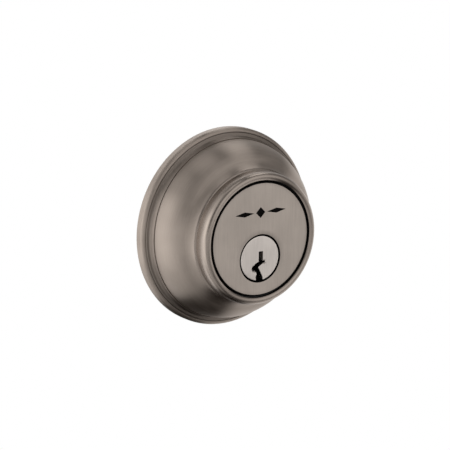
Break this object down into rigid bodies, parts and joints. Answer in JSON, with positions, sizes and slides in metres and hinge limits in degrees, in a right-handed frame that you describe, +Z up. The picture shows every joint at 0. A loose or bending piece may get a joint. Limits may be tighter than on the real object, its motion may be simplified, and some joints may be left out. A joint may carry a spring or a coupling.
{
  "type": "deadbolt door lock",
  "caption": "Round keyed deadbolt exterior: stepped flange, domed trim, nose ring and pin tumbler cylinder with a turning plug and tailpiece.",
  "frame": {"origin": "centre of the trim flange's back plane, where it meets the door's outside face", "axes": "+Y into the door along the trim's axis, +Z up, so the keyed face looks along -Y"},
  "size_m": [0.0636, 0.0585, 0.0636],
  "materials": {
    "trim_nickel": "satin antique nickel plate on forged brass, fine brushing round the axis",
    "face_nickel": "satin antique nickel plate on brass, brushed straight up and down",
    "plug_nickel": "satin nickel, lighter than the trim",
    "brass": "machined brass",
    "steel": "plain stamped steel",
    "zinc_steel": "bright zinc plate",
    "hardened_steel": "hardened and blackened",
    "nylon": "moulded black nylon",
    "seal_rubber": "closed-cell rubber"
  },
  "bodies": {
    "housing": {"trim_collar": "trim_nickel", "gasket": "seal_rubber", "bore_sleeve": "nylon", "retaining_plate": "zinc_steel", "plate_screw_1": "zinc_steel", "plate_screw_2": "zinc_steel", "plate_screw_3": "zinc_steel", "screw_post_left": "zinc_steel", "screw_post_right": "zinc_steel", "cylinder_body": "face_nickel", "spring_cover": "brass", "drill_pin_left": "hardened_steel", "drill_pin_right": "hardened_steel"},
    "plug": {"plug": "plug_nickel", "plug_drill_pin_left": "hardened_steel", "plug_drill_pin_right": "hardened_steel", "plug_cap": "brass"},
    "tailpiece": {"tailpiece": "steel"},
    "guard_ring": {"guard_ring": "hardened_steel"},
    "cap_pin": {"cap_pin": "steel", "cap_spring": "steel"},
    "key_pin_1": {"key_pin_1": "brass"},
    "driver_pin_1": {"driver_pin_1": "brass", "pin_spring_1": "steel"},
    "key_pin_2": {"key_pin_2": "brass"},
    "driver_pin_2": {"driver_pin_2": "brass", "pin_spring_2": "steel"},
    "key_pin_3": {"key_pin_3": "brass"},
    "driver_pin_3": {"driver_pin_3": "brass", "pin_spring_3": "steel"},
    "key_pin_4": {"key_pin_4": "brass"},
    "driver_pin_4": {"driver_pin_4": "brass", "pin_spring_4": "steel"},
    "key_pin_5": {"key_pin_5": "brass"},
    "driver_pin_5": {"driver_pin_5": "brass", "pin_spring_5": "steel"}
  },
  "joints": [
    {"name": "cylinder_plug_turn", "type": "hinge", "parent": "housing", "child": "plug", "pos_m": [0, 0, -0.0062], "axis": [0, 1, 0], "range_deg": [-90, 90]},
    {"name": "tailpiece_turn", "type": "hinge", "parent": "housing", "child": "tailpiece", "pos_m": [0, 0.02, -0.0062], "axis": [0, 1, 0], "range_deg": [-90, 90]},
    {"name": "guard_ring_spin", "type": "hinge", "parent": "housing", "child": "guard_ring", "pos_m": [0, -0.018, 0], "axis": [0, 1, 0], "continuous": true},
    {"name": "cap_pin_press", "type": "slide", "parent": "plug", "child": "cap_pin", "axis": [0, -1, 0], "range_m": [0, 0.0012], "stiffness_N_per_m": 150, "springref_m": -0.002, "deforming": ["cap_spring"]},
    {"name": "key_pin_1_drop", "type": "slide", "parent": "plug", "child": "key_pin_1", "axis": [0, 0, -1], "range_m": [0, 0.00247]},
    {"name": "pin_driver_1_lift", "type": "slide", "parent": "housing", "child": "driver_pin_1", "axis": [0, 0, 1], "range_m": [0, 0.0015], "stiffness_N_per_m": 100, "springref_m": -0.003, "deforming": ["pin_spring_1"]},
    {"name": "key_pin_2_drop", "type": "slide", "parent": "plug", "child": "key_pin_2", "axis": [0, 0, -1], "range_m": [0, 0.0017]},
    {"name": "pin_driver_2_lift", "type": "slide", "parent": "housing", "child": "driver_pin_2", "axis": [0, 0, 1], "range_m": [0, 0.0015], "stiffness_N_per_m": 100, "springref_m": -0.003, "deforming": ["pin_spring_2"]},
    {"name": "key_pin_3_drop", "type": "slide", "parent": "plug", "child": "key_pin_3", "axis": [0, 0, -1], "range_m": [0, 0.00285]},
    {"name": "pin_driver_3_lift", "type": "slide", "parent": "housing", "child": "driver_pin_3", "axis": [0, 0, 1], "range_m": [0, 0.0015], "stiffness_N_per_m": 100, "springref_m": -0.003, "deforming": ["pin_spring_3"]},
    {"name": "key_pin_4_drop", "type": "slide", "parent": "plug", "child": "key_pin_4", "axis": [0, 0, -1], "range_m": [0, 0.00132]},
    {"name": "pin_driver_4_lift", "type": "slide", "parent": "housing", "child": "driver_pin_4", "axis": [0, 0, 1], "range_m": [0, 0.0015], "stiffness_N_per_m": 100, "springref_m": -0.003, "deforming": ["pin_spring_4"]},
    {"name": "key_pin_5_drop", "type": "slide", "parent": "plug", "child": "key_pin_5", "axis": [0, 0, -1], "range_m": [0, 0.00209]},
    {"name": "pin_driver_5_lift", "type": "slide", "parent": "housing", "child": "driver_pin_5", "axis": [0, 0, 1], "range_m": [0, 0.0015], "stiffness_N_per_m": 100, "springref_m": -0.003, "deforming": ["pin_spring_5"]}
  ],
  "couplings": [
    {"joint": "tailpiece_turn", "follows": "cylinder_plug_turn", "ratio": 1}
  ]
}
